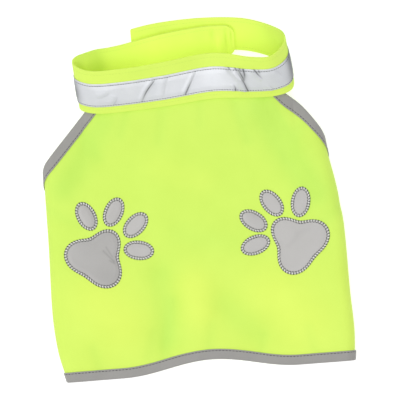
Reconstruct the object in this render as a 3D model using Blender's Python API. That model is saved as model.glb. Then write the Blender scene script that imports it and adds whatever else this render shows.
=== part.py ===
"""High-visibility dog coat, laid on its belly with its neck to +Y.

One yellow cloth panel covers the back and turns under at both sides into belly flaps.
A stiff yellow collar stands at its neckline as a flattened ring, with its two strap ends
overlapped at the throat. Silver tape lies round the nape of the collar, grey binding
folds over the shoulder edges and the hem, and two grey paw prints are sewn to the back.
Every piece is a cut sheet, laid in its place and then given the thickness of its cloth.

Lengths are in millimetres up to the last step. y is 0 at the neck seam and grows towards
the head; x is 0 on the spine; z is 0 on the surface that the coat lies on.
"""

import math
from collections import namedtuple

import bmesh
import bpy
import numpy as np

MM = 0.001

# Thickness of each cloth, and the gap left between sewn layers
PANEL_WALL = 1.2
COLLAR_WALL = 1.6
TAPE_WALL = 1.0
BINDING_WALL = 1.0
PATCH_WALL = 1.0
STRAP_WALL = 1.0
SEAM_GAP = 0.35
PATCH_GAP = 0.45

# Cut of the back panel, with s the distance from the spine along the cloth
BACK_LENGTH = 268.0
PANEL_HALF = 228.0
SHOULDER_START = 100.0
SHOULDER_SLOPE = 1.1
SHOULDER_FULL_S = 115.0
SHOULDER_FULL_HALF = 22.0
SHOULDER_FULLNESS = 4.0
HEM_NOTCH_X = 5.0
HEM_NOTCH_HALF = 88.0
HEM_NOTCH_RISE = 12.0

# Heights of the laid panel
FLAP_Z = BINDING_WALL + SEAM_GAP + PANEL_WALL / 2
BACK_Z = 14.0
HEM_Z = 11.5
HEM_FALL_START = 150.0
HEM_FALL_LENGTH = 118.0
SIDE_BLEND = 0.45
NECK_BLEND = 62.0

BINDING_WIDTH = 10.0
BINDING_LEG = BINDING_WIDTH - BINDING_WALL - SEAM_GAP
BINDING_START_S = 84.0

# How the neck edge is tucked under the collar, and drops away from it towards its corners
NECK_TUCK = BINDING_LEG
CORNER_TUCK = 12.0
TUCK_START = 70.0
TUCK_BLEND = 18.0
LEAN_BLEND = 20.0
CORNER_DROP = 1.8
CORNER_START = 62.0
CORNER_BLEND = 38.0
UNDER_COLLAR_SPARE = 0.1

TAPE_LOW = 7.5
TAPE_WIDTH = 25.5

STRAP_WIDTH = 40.0
STRAP_Y = -204.0
STRAP_REACH = 40.0
STRAP_SEWN_X = 104.0
STRAP_STEP_X = (50.0, 64.0)

# Width of the laid coat and radius of its turned sides, from the neck to the hem
Side = namedtuple("Side", "y left left_turn right right_turn")
SIDES = [
    Side(y=20, left=148.0, left_turn=10.0, right=135.0, right_turn=11.5),
    Side(y=-20, left=148.0, left_turn=10.0, right=134.0, right_turn=11.5),
    Side(y=-50, left=147.6, left_turn=10.0, right=136.0, right_turn=11.5),
    Side(y=-90, left=148.2, left_turn=10.0, right=143.2, right_turn=11.5),
    Side(y=-130, left=148.5, left_turn=10.0, right=148.0, right_turn=11.0),
    Side(y=-200, left=150.0, left_turn=10.0, right=149.0, right_turn=10.5),
    Side(y=-238, left=147.0, left_turn=9.0, right=150.3, right_turn=10.0),
    Side(y=-275, left=139.0, left_turn=8.0, right=148.0, right_turn=9.0),
]

# Soft folds across the back: each runs from one point to another, up or down by its rise
Fold = namedtuple("Fold", "x0 y0 x1 y1 width rise")
FOLDS = [
    Fold(x0=72, y0=-8, x1=122, y1=-98, width=17, rise=-5.0),
    Fold(x0=-86, y0=-12, x1=-128, y1=-74, width=15, rise=-4.0),
    Fold(x0=-37, y0=-170, x1=-36, y1=-232, width=16, rise=-4.0),
    Fold(x0=22, y0=-204, x1=52, y1=-232, width=15, rise=-3.0),
    Fold(x0=-8, y0=-182, x1=-2, y1=-206, width=20, rise=4.0),
    Fold(x0=74, y0=-196, x1=100, y1=-226, width=30, rise=3.5),
    Fold(x0=-104, y0=-190, x1=-82, y1=-214, width=30, rise=3.5),
    Fold(x0=-20, y0=-70, x1=30, y1=-110, width=40, rise=3.0),
]

# Sections of the collar, from the rounded strap end inside the throat, round the left
# turn, along the nape, round the right turn and back to the square outer strap end
Section = namedtuple("Section", "x y_low z_low lean y_top height")
COLLAR = [
    Section(x=53, y_low=46, z_low=0.7, lean=0, y_top=75, height=38),
    Section(x=24, y_low=46, z_low=0.7, lean=0, y_top=76, height=38),
    Section(x=-20, y_low=40, z_low=0.7, lean=0, y_top=72, height=39),
    Section(x=-60, y_low=31, z_low=0.9, lean=-2, y_top=64, height=41),
    Section(x=-87, y_low=24, z_low=2.5, lean=-6, y_top=60, height=44),
    Section(x=-103, y_low=12, z_low=11.0, lean=-5, y_top=55, height=47),
    Section(x=-105, y_low=3, z_low=20.0, lean=-3, y_top=47, height=47),
    Section(x=-89, y_low=-2, z_low=25.0, lean=-3, y_top=40, height=46.5),
    Section(x=-60, y_low=-2, z_low=27.0, lean=0, y_top=40, height=46.5),
    Section(x=-20, y_low=0, z_low=27.0, lean=0, y_top=43.5, height=46.5),
    Section(x=28, y_low=4, z_low=26.5, lean=0, y_top=49, height=46.5),
    Section(x=66, y_low=2, z_low=25.5, lean=0, y_top=42, height=46.5),
    Section(x=90, y_low=2, z_low=24.5, lean=-3, y_top=41, height=46.5),
    Section(x=106, y_low=7, z_low=20.0, lean=-6, y_top=51, height=47),
    Section(x=108, y_low=20, z_low=11.0, lean=-5, y_top=61, height=47),
    Section(x=97, y_low=37, z_low=4.0, lean=-2, y_top=69, height=44),
    Section(x=64, y_low=50, z_low=1.0, lean=0, y_top=81, height=40),
    Section(x=20, y_low=53, z_low=0.7, lean=0, y_top=85, height=38),
    Section(x=-24, y_low=52, z_low=0.7, lean=0, y_top=83, height=38),
    Section(x=-50, y_low=49, z_low=0.7, lean=0, y_top=79, height=38),
]
COLLAR_STEPS = 6
COLLAR_ROWS = 4
TAB_CORNER = 10.0
SQUARE_CORNER = 2.0
NAPE_FIRST = 6
NAPE_LAST = 13
TAPE_FIRST = 4
TAPE_LAST = 15

# A paw print: a three-lobed pad, and toes at these places and tilts on each side of it
PAD_RADIUS = 27.5
PAD_LOBE = 5.3
PAD_LOBE_SHIFT = 0.15
TOE_HALF_LENGTH = 15.3
TOE_HALF_WIDTH = 9.6
Toe = namedtuple("Toe", "paw across ahead tilt")
TOES = [
    Toe(paw="left", across=-11.6, ahead=48.2, tilt=-10.0),
    Toe(paw="left", across=13.9, ahead=49.5, tilt=10.0),
    Toe(paw="left", across=-32.0, ahead=29.6, tilt=-62.0),
    Toe(paw="left", across=30.5, ahead=30.3, tilt=62.0),
    Toe(paw="right", across=-12.8, ahead=48.8, tilt=-10.0),
    Toe(paw="right", across=12.6, ahead=46.5, tilt=10.0),
    Toe(paw="right", across=-29.8, ahead=31.6, tilt=-62.0),
    Toe(paw="right", across=32.3, ahead=25.2, tilt=58.0),
]
Paw = namedtuple("Paw", "name x y heading")
PAWS = [
    Paw(name="left", x=-101.5, y=-146.7, heading=38.0),
    Paw(name="right", x=101.5, y=-146.7, heading=-45.0),
]

# Columns of the panel on each side: over the back, round the turn and under the belly
BACK_COLUMNS = 16
TURN_COLUMNS = 8
FLAP_COLUMNS = 4
PANEL_ROWS = 26

# Steps for measuring a slope: along a row of sections, and in millimetres on the panel
SECTION_STEP = 0.02
CLOTH_STEP = 0.6


def ease(t):
    """Smooth step from 0 to 1 as t goes from 0 to 1."""
    t = min(max(t, 0.0), 1.0)
    return t * t * (3 - 2 * t)


def bell(t):
    """1 at t = 0, falling smoothly to 0 at t = 1 and t = -1."""
    return 0.5 + 0.5 * math.cos(math.pi * min(abs(t), 1.0))


def through(rows, t):
    """Values at t on a smooth curve through the rows, with t counted in rows."""
    first = min(max(int(math.floor(t)), 0), len(rows) - 2)
    u = t - first
    before, start, end, after = (
        np.array(rows[min(max(first + k, 0), len(rows) - 1)], float) for k in (-1, 0, 1, 2)
    )
    start_slope = (end - before) / 2
    end_slope = (after - start) / 2
    return (
        start * (1 + 2 * u) * (1 - u) ** 2
        + start_slope * u * (1 - u) ** 2
        + end * u * u * (3 - 2 * u)
        + end_slope * u * u * (u - 1)
    )


def collar_section(t):
    """Middle of the collar's cloth at section t: its low edge, top edge and height."""
    x, y_low, z_low, lean, y_top, height = through(COLLAR, t)
    rise = math.sqrt(max(height**2 - (y_top - y_low) ** 2 - lean**2, 0.0))
    return np.array([x, y_low, z_low]), np.array([x + lean, y_top, z_low + rise]), height


def collar_point(t, up, lift=0.0):
    """A point of the collar at section t, up millimetres above its low edge."""
    low, top, height = collar_section(t)
    ahead = collar_section(t + SECTION_STEP)
    behind = collar_section(t - SECTION_STEP)
    along = (ahead[0] + ahead[1]) - (behind[0] + behind[1])
    normal = np.cross(along, top - low)
    normal /= np.linalg.norm(normal)
    return low + (top - low) * (up / height) + normal * lift


def nape_edge():
    """The collar's low edge along the nape: rows of x, y, z and slope in order of x."""
    rows = []
    for k in range((NAPE_LAST - NAPE_FIRST) * COLLAR_STEPS + 1):
        low, top, _ = collar_section(NAPE_FIRST + k / COLLAR_STEPS)
        rows.append((*low, (top[2] - low[2]) / (top[1] - low[1])))
    return np.array(sorted(rows))


NAPE = nape_edge()


def neck_y(x):
    return float(np.interp(x, NAPE[:, 0], NAPE[:, 1]))


def neck_slope(x):
    return float(np.interp(x, NAPE[:, 0], NAPE[:, 3]))


def neck_z(x):
    """Height of the panel where it meets the collar, lower still under the bindings."""
    under_collar = COLLAR_WALL / 2 + SEAM_GAP + PANEL_WALL / 2 + UNDER_COLLAR_SPARE
    corner = ease((abs(x) - CORNER_START) / CORNER_BLEND)
    under_binding = (BINDING_WALL + SEAM_GAP + CORNER_DROP) * corner
    slant = math.hypot(1, neck_slope(x))
    return float(np.interp(x, NAPE[:, 0], NAPE[:, 2])) - (under_collar + under_binding) * slant


def side_at(y, sign):
    """Where the panel starts to turn under at this y, and the radius of the turn."""
    ys = [-side.y for side in SIDES]
    row = float(np.interp(-y, ys, range(len(ys))))
    _, left, left_turn, right, right_turn = through(SIDES, row)
    reach, turn = (left, left_turn) if sign < 0 else (right, right_turn)
    return reach - turn - PANEL_WALL / 2, turn


def fold_rise(x, y):
    """Height that the soft folds add at this place."""
    total = 0.0
    for fold in FOLDS:
        run = np.array([fold.x1 - fold.x0, fold.y1 - fold.y0], float)
        place = np.array([x - fold.x0, y - fold.y0], float)
        share = min(max(float(place @ run / (run @ run)), 0.0), 1.0)
        distance = float(np.linalg.norm(place - share * run))
        total += fold.rise * math.exp(-((distance / fold.width) ** 2))
    return total


def back_z(x, y):
    """Height of the middle of the panel's cloth where it faces up."""
    start, turn = side_at(y, x)
    middle = BACK_Z + (HEM_Z - BACK_Z) * ease((-y - HEM_FALL_START) / HEM_FALL_LENGTH)
    side = FLAP_Z + 2 * turn
    share = ease((abs(x) / start - SIDE_BLEND) / (1 - SIDE_BLEND))
    body = middle + (side - middle) * share + fold_rise(x, y) * (1 - share**4)
    tucked = max(y - neck_y(x), 0.0)
    lean = neck_slope(x) * tucked * (1 - ease((abs(x) - TUCK_START) / LEAN_BLEND))
    near_neck = ease((y + NECK_BLEND) / NECK_BLEND)
    return body + (neck_z(x) + lean - body) * near_neck


def panel_middle(s, y):
    """Middle of the panel's cloth: over the back, round the side and under the belly."""
    sign = -1 if s < 0 else 1
    start, turn = side_at(y, sign)
    past = abs(s) - start
    if past <= 0:
        return np.array([s, y, back_z(s, y)])
    rim = back_z(sign * start, y)
    if past <= math.pi * turn:
        angle = past / turn
        x = start + turn * math.sin(angle)
        z = FLAP_Z + (rim - FLAP_Z) * (1 + math.cos(angle)) / 2
    else:
        x = start - (past - math.pi * turn)
        z = FLAP_Z
    return np.array([sign * x, y, z])


def panel_point(s, y, lift=0.0):
    """A point of the panel, or of what lies on it at this lift from its middle."""
    across = panel_middle(s + CLOTH_STEP, y) - panel_middle(s - CLOTH_STEP, y)
    along = panel_middle(s, y + CLOTH_STEP) - panel_middle(s, y - CLOTH_STEP)
    normal = np.cross(across, along)
    normal /= np.linalg.norm(normal)
    return panel_middle(s, y) + normal * lift


def shoulder_y(s):
    """The shoulder cut, sloping back from the collar to the belly, fuller on the right."""
    fuller = SHOULDER_FULLNESS * bell((s - SHOULDER_FULL_S) / SHOULDER_FULL_HALF)
    return fuller - SHOULDER_SLOPE * (abs(s) - SHOULDER_START)


def front_y(s):
    """The front edge of the cut: tucked under the collar, then along the shoulder."""
    tuck = NECK_TUCK + CORNER_TUCK * ease((abs(s) - TUCK_START) / TUCK_BLEND)
    return min(shoulder_y(s), neck_y(s) + tuck)


def hem_y(s):
    notch = HEM_NOTCH_RISE * bell((s - HEM_NOTCH_X) / HEM_NOTCH_HALF)
    return -BACK_LENGTH + BINDING_WALL + SEAM_GAP + notch


def column_s(column, y):
    """How far across the cloth a column is at this y, counted from the spine."""
    sign = -1 if column < 0 else 1
    start, turn = side_at(y, sign)
    turned = start + math.pi * turn
    past = abs(column) - BACK_COLUMNS
    if past <= 0:
        return sign * start * abs(column) / BACK_COLUMNS
    if past <= TURN_COLUMNS:
        return sign * (start + math.pi * turn * past / TURN_COLUMNS)
    return sign * (turned + (PANEL_HALF - turned) * (past - TURN_COLUMNS) / FLAP_COLUMNS)


def station(column, edge_y):
    """Where a column meets a cut edge of the panel."""
    y = edge_y(column_s(column, -100))
    for _ in range(24):
        y = (y + edge_y(column_s(column, y))) / 2
    return column_s(column, y), y


def columns():
    last = BACK_COLUMNS + TURN_COLUMNS + FLAP_COLUMNS
    return range(-last, last + 1)


def cloth(name, grid, wall, material):
    """One piece of cloth: a grid of points, given its thickness either side of them.

    Every square of the grid is split on the same slant, so layers of cloth nest.
    """
    mesh = bpy.data.meshes.new(name)
    bm = bmesh.new()
    rows = [[bm.verts.new(point * MM) for point in row] for row in grid]
    for low, high in zip(rows, rows[1:]):
        for k in range(len(low) - 1):
            a, b, c, d = low[k], low[k + 1], high[k + 1], high[k]
            forward = d.co.y > a.co.y
            bm.faces.new((a, b, c) if forward else (a, b, d))
            bm.faces.new((a, c, d) if forward else (b, c, d))
    return finish_cloth(name, mesh, bm, wall, material)


def finish_cloth(name, mesh, bm, wall, material):
    bmesh.ops.recalc_face_normals(bm, faces=bm.faces)
    bm.to_mesh(mesh)
    bm.free()
    mesh.shade_smooth()
    mesh.materials.append(material)
    obj = bpy.data.objects.new(name, mesh)
    bpy.context.scene.collection.objects.link(obj)
    thicken = obj.modifiers.new("cloth thickness", "SOLIDIFY")
    thicken.thickness = wall * MM
    thicken.offset = 0
    thicken.use_even_offset = True
    return obj


def finish(name, colour, roughness, metallic=0.0):
    material = bpy.data.materials.new(name)
    material.use_nodes = True
    shader = material.node_tree.nodes["Principled BSDF"]
    shader.inputs["Base Color"].default_value = (*colour, 1)
    shader.inputs["Roughness"].default_value = roughness
    shader.inputs["Metallic"].default_value = metallic
    return material


def make_panel(material):
    """The panel has rows close to its cut edges where the bindings lie on it."""
    grid = [[] for _ in range(PANEL_ROWS + 1)]
    for column in columns():
        s, front = station(column, front_y)
        hem = station(column, hem_y)[1]
        slant = math.hypot(1, SHOULDER_SLOPE) if abs(s) > SHOULDER_START - 20 else 1
        near = BINDING_LEG / 2
        low, high = hem + 2 * near, front - 2 * near * slant
        inner = PANEL_ROWS - 4
        ys = [hem, hem + near]
        ys += [low + (high - low) * k / inner for k in range(inner + 1)]
        ys += [front - near * slant, front]
        for row, y in zip(grid, ys):
            row.append(panel_point(column_s(column, y), y))
    return cloth("back_panel", grid, PANEL_WALL, material)


def binding_section():
    """The folded binding: how far inside the cut edge, and how far off the cloth."""
    lift = PANEL_WALL / 2 + SEAM_GAP + BINDING_WALL / 2
    leg = [(BINDING_LEG, lift), (BINDING_LEG / 2, lift), (0, lift)]
    turn = [(-lift * math.sin(a), lift * math.cos(a)) for a in (math.pi / 3, 2 * math.pi / 3)]
    under = [(inside, -off) for inside, off in reversed(leg)]
    return leg + turn + under


def make_binding(name, edge, inward, material):
    """Binding folded over a cut edge of the panel, at each column and y of the edge."""
    grid = []
    for inside, lift in binding_section():
        ys = [y + inward * inside for _, y in edge]
        grid.append(
            [panel_point(column_s(column, y), y, lift) for (column, _), y in zip(edge, ys)]
        )
    return cloth(name, grid, BINDING_WALL, material)


def make_bindings(material):
    slant = math.hypot(1, SHOULDER_SLOPE)
    shoulder = [(column, *station(column, shoulder_y)) for column in columns()]
    right = [(column, y) for column, s, y in shoulder if s >= BINDING_START_S]
    left = [(column, y) for column, s, y in shoulder if s <= -BINDING_START_S]
    hem = [(column, station(column, hem_y)[1]) for column in columns()]
    make_binding("shoulder_binding_right", right, -slant, material)
    make_binding("shoulder_binding_left", left, -slant, material)
    make_binding("hem_binding", hem, 1, material)


def corner_trim(distance, radius):
    """How far a rounded corner cuts into the band at this distance from its end."""
    if distance >= radius:
        return 0.0
    return radius - math.sqrt(radius**2 - (radius - distance) ** 2)


def make_collar(material):
    last = len(COLLAR) - 1
    places = [k / COLLAR_STEPS for k in range(last * COLLAR_STEPS + 1)]
    places = sorted(set(places + [0.1, last - 0.06]))
    middles = [collar_point(t, 20) for t in places]
    steps = [np.linalg.norm(b - a) for a, b in zip(middles, middles[1:])]
    travelled = np.concatenate([[0], np.cumsum(steps)])
    grid = [[] for _ in range(COLLAR_ROWS + 1)]
    for t, gone in zip(places, travelled):
        height = collar_section(t)[2]
        trim = corner_trim(gone, TAB_CORNER)
        trim += corner_trim(travelled[-1] - gone, SQUARE_CORNER)
        for row, points in enumerate(grid):
            points.append(collar_point(t, trim + (height - 2 * trim) * row / COLLAR_ROWS))
    return cloth("collar", grid, COLLAR_WALL, material)


def make_tape(material):
    lift = COLLAR_WALL / 2 + SEAM_GAP + TAPE_WALL / 2
    count = (TAPE_LAST - TAPE_FIRST) * COLLAR_STEPS
    places = [TAPE_FIRST + k / COLLAR_STEPS for k in range(count + 1)]
    grid = []
    for row in range(3):
        up = TAPE_LOW + TAPE_WIDTH * row / 2
        grid.append([collar_point(t, up, lift) for t in places])
    return cloth("collar_tape", grid, TAPE_WALL, material)


def pad_outline(angle):
    """Distance from the pad's middle to its edge, with the angle from its front lobe."""
    return PAD_RADIUS + PAD_LOBE * math.cos(3 * (angle + PAD_LOBE_SHIFT * math.sin(angle)))


def toe_outline(angle):
    along = math.cos(angle) / TOE_HALF_LENGTH
    across = math.sin(angle) / TOE_HALF_WIDTH
    return 1 / math.hypot(along, across)


def make_patch(name, centre, heading, outline, rings, around, material):
    """A patch sewn flat on the panel, cut to an outline round its middle."""
    lift = PANEL_WALL / 2 + PATCH_GAP + PATCH_WALL / 2
    mesh = bpy.data.meshes.new(name)
    bm = bmesh.new()
    middle = bm.verts.new(panel_point(*centre, lift) * MM)
    inner = None
    for ring in range(1, rings + 1):
        verts = []
        for k in range(around):
            angle = 2 * math.pi * k / around
            reach = outline(angle) * ring / rings
            s = centre[0] + reach * math.sin(angle + heading)
            y = centre[1] + reach * math.cos(angle + heading)
            verts.append(bm.verts.new(panel_point(s, y, lift) * MM))
        for k in range(around):
            after = (k + 1) % around
            if inner is None:
                bm.faces.new((middle, verts[after], verts[k]))
            else:
                bm.faces.new((inner[k], inner[after], verts[after], verts[k]))
        inner = verts
    return finish_cloth(name, mesh, bm, PATCH_WALL, material)


def make_paws(material):
    for paw in PAWS:
        heading = math.radians(paw.heading)
        make_patch(f"paw_{paw.name}_pad", (paw.x, paw.y), heading, pad_outline, 4, 36, material)
        toes = [toe for toe in TOES if toe.paw == paw.name]
        for number, toe in enumerate(toes, start=1):
            x = paw.x + toe.ahead * math.sin(heading) + toe.across * math.cos(heading)
            y = paw.y + toe.ahead * math.cos(heading) - toe.across * math.sin(heading)
            turned = heading + math.radians(toe.tilt)
            name = f"paw_{paw.name}_toe_{number}"
            make_patch(name, (x, y), turned, toe_outline, 2, 20, material)


def make_straps(material):
    """Two belly straps sewn under the flaps, one lapped over the other at the middle."""
    lower = STRAP_WALL / 2
    upper = lower + STRAP_WALL + SEAM_GAP
    half = STRAP_WIDTH / 2
    near, far = STRAP_STEP_X
    routes = {
        "belly_strap_left": [(-STRAP_SEWN_X, lower), (0, lower), (STRAP_REACH, lower)],
        "belly_strap_right": [
            (-STRAP_REACH, upper),
            (0, upper),
            (near, upper),
            (far, lower),
            (STRAP_SEWN_X, lower),
        ],
    }
    for name, route in routes.items():
        grid = [
            [np.array([x, STRAP_Y + side * half, z]) for x, z in route] for side in (-1, 0, 1)
        ]
        cloth(name, grid, STRAP_WALL, material)


def stand_on_origin():
    """Moves the coat so that the origin is under the middle of its box."""
    bpy.context.view_layer.update()
    graph = bpy.context.evaluated_depsgraph_get()
    objects = list(bpy.context.scene.collection.objects)
    corners = np.array(
        [corner for obj in objects for corner in obj.evaluated_get(graph).bound_box]
    )
    low, high = corners.min(axis=0), corners.max(axis=0)
    shift = np.array([-(low[0] + high[0]) / 2, -(low[1] + high[1]) / 2, -low[2]])
    for obj in objects:
        obj.location = shift


def main():
    for obj in list(bpy.data.objects):
        bpy.data.objects.remove(obj)
    yellow = finish("fluorescent_yellow_cloth", (0.66, 1.0, 0.08), 0.75)
    silver = finish("silver_tape", (0.78, 0.79, 0.81), 0.35, 0.3)
    grey = finish("grey_binding", (0.36, 0.35, 0.34), 0.6)
    patch = finish("grey_patch", (0.5, 0.49, 0.48), 0.5)
    make_panel(yellow)
    make_collar(yellow)
    make_tape(silver)
    make_bindings(grey)
    make_paws(patch)
    make_straps(yellow)
    stand_on_origin()


main()
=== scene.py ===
import math
from collections import namedtuple

import bmesh
import bpy
import numpy as np
from mathutils import Matrix, Vector


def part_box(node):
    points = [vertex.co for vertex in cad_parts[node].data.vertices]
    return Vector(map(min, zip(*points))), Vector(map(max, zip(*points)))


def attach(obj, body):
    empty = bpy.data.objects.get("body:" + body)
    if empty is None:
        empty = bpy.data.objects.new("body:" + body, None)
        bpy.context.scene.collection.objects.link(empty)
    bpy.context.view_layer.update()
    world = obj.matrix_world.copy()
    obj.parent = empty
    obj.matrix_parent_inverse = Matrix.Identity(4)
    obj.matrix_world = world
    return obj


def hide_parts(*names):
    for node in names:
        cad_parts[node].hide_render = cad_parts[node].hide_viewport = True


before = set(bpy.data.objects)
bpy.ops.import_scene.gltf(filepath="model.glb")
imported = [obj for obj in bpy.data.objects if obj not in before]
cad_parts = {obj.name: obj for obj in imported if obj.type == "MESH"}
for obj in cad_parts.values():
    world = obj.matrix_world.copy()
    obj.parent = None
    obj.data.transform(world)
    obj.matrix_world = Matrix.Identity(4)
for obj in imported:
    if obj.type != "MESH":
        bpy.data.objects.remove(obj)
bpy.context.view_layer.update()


# The back panel
# One piece of fluorescent yellow woven polyester. It lies over the back, turns under at
# both sides into belly flaps and is tucked under the collar's low edge at the neck.
# Lengths are in millimetres: s across the cloth from the spine, y from the neck seam.

MM = 0.001
PANEL_WALL = 1.2
COLLAR_WALL = 1.6
BINDING_WALL = 1.0
SEAM_GAP = 0.35
BACK_LENGTH = 268.0
PANEL_HALF = 228.0
SHOULDER_START = 100.0
SHOULDER_SLOPE = 1.1
SHOULDER_FULL_S = 115.0
SHOULDER_FULL_HALF = 22.0
SHOULDER_FULLNESS = 4.0
HEM_NOTCH_X = 5.0
HEM_NOTCH_HALF = 88.0
HEM_NOTCH_RISE = 12.0
FLAP_CORNER_S = 196.0
FLAP_CORNER_RISE = 2.8
FLAP_Z = BINDING_WALL + SEAM_GAP + PANEL_WALL / 2
BACK_Z = 14.0
HEM_Z = 11.5
SIDE_BLEND = 0.45
NECK_BLEND = 62.0
CORNER_DROP = 1.8
CORNER_START = 62.0
CORNER_BLEND = 38.0
CORNER_TUCK = 12.0
TUCK_START = 70.0
TUCK_BLEND = 18.0
LEAN_BLEND = 20.0
HEM_FALL_START = 150.0
HEM_FALL_LENGTH = 118.0
UNDER_COLLAR_SPARE = 0.1
CLOTH_STEP = 0.6
BINDING_WIDTH = 10.0
BINDING_LEG = BINDING_WIDTH - BINDING_WALL - SEAM_GAP
NECK_TUCK = BINDING_LEG
BACK_COLUMNS = 16
TURN_COLUMNS = 8
FLAP_COLUMNS = 4
LAST_COLUMN = BACK_COLUMNS + TURN_COLUMNS + FLAP_COLUMNS

strap_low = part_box("belly_strap_left")[0]
SHIFT = np.array([strap_low.x / MM + 104.0, strap_low.y / MM + 224.0, strap_low.z / MM])

# How far out each side of the coat reaches as it lies, and the radius of its turn
Side = namedtuple("Side", "y left left_turn right right_turn")
SIDES = [
    Side(y=20, left=148.0, left_turn=10.0, right=135.0, right_turn=11.5),
    Side(y=-20, left=148.0, left_turn=10.0, right=134.0, right_turn=11.5),
    Side(y=-50, left=147.6, left_turn=10.0, right=136.0, right_turn=11.5),
    Side(y=-90, left=148.2, left_turn=10.0, right=143.2, right_turn=11.5),
    Side(y=-130, left=148.5, left_turn=10.0, right=148.0, right_turn=11.0),
    Side(y=-200, left=150.0, left_turn=10.0, right=149.0, right_turn=10.5),
    Side(y=-238, left=147.0, left_turn=9.0, right=150.3, right_turn=10.0),
    Side(y=-275, left=139.0, left_turn=8.0, right=148.0, right_turn=9.0),
]

# Soft folds of the back as it lies, each from one end to the other
Fold = namedtuple("Fold", "x0 y0 x1 y1 width rise")
FOLDS = [
    Fold(x0=72, y0=-8, x1=122, y1=-98, width=17, rise=-5.0),
    Fold(x0=-86, y0=-12, x1=-128, y1=-74, width=15, rise=-4.0),
    Fold(x0=-37, y0=-170, x1=-36, y1=-232, width=16, rise=-4.0),
    Fold(x0=22, y0=-204, x1=52, y1=-232, width=15, rise=-3.0),
    Fold(x0=-8, y0=-182, x1=-2, y1=-206, width=20, rise=4.0),
    Fold(x0=74, y0=-196, x1=100, y1=-226, width=30, rise=3.5),
    Fold(x0=-104, y0=-190, x1=-82, y1=-214, width=30, rise=3.5),
    Fold(x0=-20, y0=-70, x1=30, y1=-110, width=40, rise=3.0),
]

# Smaller creases of the soft cloth, in the flat cut, on the back and under the belly
CREASES = [
    Fold(x0=-60, y0=-3, x1=-68, y1=-26, width=5.0, rise=-0.7),
    Fold(x0=-24, y0=-2, x1=-30, y1=-34, width=6.0, rise=-0.6),
    Fold(x0=14, y0=0, x1=12, y1=-22, width=5.0, rise=-0.5),
    Fold(x0=48, y0=0, x1=58, y1=-40, width=6.5, rise=-0.9),
    Fold(x0=78, y0=0, x1=96, y1=-34, width=6.0, rise=-1.0),
    Fold(x0=-106, y0=-22, x1=-92, y1=-46, width=6.0, rise=-0.7),
    Fold(x0=112, y0=-30, x1=98, y1=-58, width=6.0, rise=-0.7),
    Fold(x0=-146, y0=-96, x1=-116, y1=-112, width=6.0, rise=-0.6),
    Fold(x0=148, y0=-112, x1=122, y1=-132, width=7.0, rise=-0.7),
    Fold(x0=-30, y0=-196, x1=-44, y1=-262, width=7.0, rise=-1.0),
    Fold(x0=-52, y0=-226, x1=-60, y1=-262, width=6.0, rise=-0.6),
    Fold(x0=8, y0=-222, x1=2, y1=-256, width=6.0, rise=-0.7),
    Fold(x0=60, y0=-236, x1=52, y1=-264, width=5.0, rise=-0.6),
    Fold(x0=104, y0=-232, x1=112, y1=-266, width=6.0, rise=-0.7),
    Fold(x0=-112, y0=-236, x1=-104, y1=-266, width=6.0, rise=-0.7),
    Fold(x0=-176, y0=-110, x1=-206, y1=-150, width=7.0, rise=0.6),
    Fold(x0=182, y0=-120, x1=212, y1=-156, width=6.0, rise=0.6),
    Fold(x0=-178, y0=-200, x1=-216, y1=-190, width=7.0, rise=0.5),
    Fold(x0=180, y0=-214, x1=214, y1=-202, width=6.5, rise=0.5),
    Fold(x0=-18, y0=-128, x1=34, y1=-142, width=12.0, rise=-0.5),
    Fold(x0=-34, y0=-60, x1=10, y1=-78, width=14.0, rise=0.6),
]

# Sections of the collar's ring, from its inner end to its outer end. They stand here
# because the panel's neck follows the nape, which runs from NAPE_FIRST to NAPE_LAST
Section = namedtuple("Section", "x y_low z_low lean y_top height")
COLLAR = [
    Section(x=53, y_low=46, z_low=0.7, lean=0, y_top=75, height=38),
    Section(x=24, y_low=46, z_low=0.7, lean=0, y_top=76, height=38),
    Section(x=-20, y_low=40, z_low=0.7, lean=0, y_top=72, height=39),
    Section(x=-60, y_low=31, z_low=0.9, lean=-2, y_top=64, height=41),
    Section(x=-87, y_low=24, z_low=2.5, lean=-6, y_top=60, height=44),
    Section(x=-103, y_low=12, z_low=11.0, lean=-5, y_top=55, height=47),
    Section(x=-105, y_low=3, z_low=20.0, lean=-3, y_top=47, height=47),
    Section(x=-89, y_low=-2, z_low=25.0, lean=-3, y_top=40, height=46.5),
    Section(x=-60, y_low=-2, z_low=27.0, lean=0, y_top=40, height=46.5),
    Section(x=-20, y_low=0, z_low=27.0, lean=0, y_top=43.5, height=46.5),
    Section(x=28, y_low=4, z_low=26.5, lean=0, y_top=49, height=46.5),
    Section(x=66, y_low=2, z_low=25.5, lean=0, y_top=42, height=46.5),
    Section(x=90, y_low=2, z_low=24.5, lean=-3, y_top=41, height=46.5),
    Section(x=106, y_low=7, z_low=20.0, lean=-6, y_top=51, height=47),
    Section(x=108, y_low=20, z_low=11.0, lean=-5, y_top=61, height=47),
    Section(x=97, y_low=37, z_low=4.0, lean=-2, y_top=69, height=44),
    Section(x=64, y_low=50, z_low=1.0, lean=0, y_top=81, height=40),
    Section(x=20, y_low=53, z_low=0.7, lean=0, y_top=85, height=38),
    Section(x=-24, y_low=52, z_low=0.7, lean=0, y_top=83, height=38),
    Section(x=-50, y_low=49, z_low=0.7, lean=0, y_top=79, height=38),
]
LAST_SECTION = len(COLLAR) - 1
NAPE_FIRST = 6
NAPE_LAST = 13


def ease(t):
    t = np.clip(t, 0.0, 1.0)
    return t * t * (3 - 2 * t)


def bell(t):
    return 0.5 + 0.5 * np.cos(np.pi * np.clip(np.abs(t), 0.0, 1.0))


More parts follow.
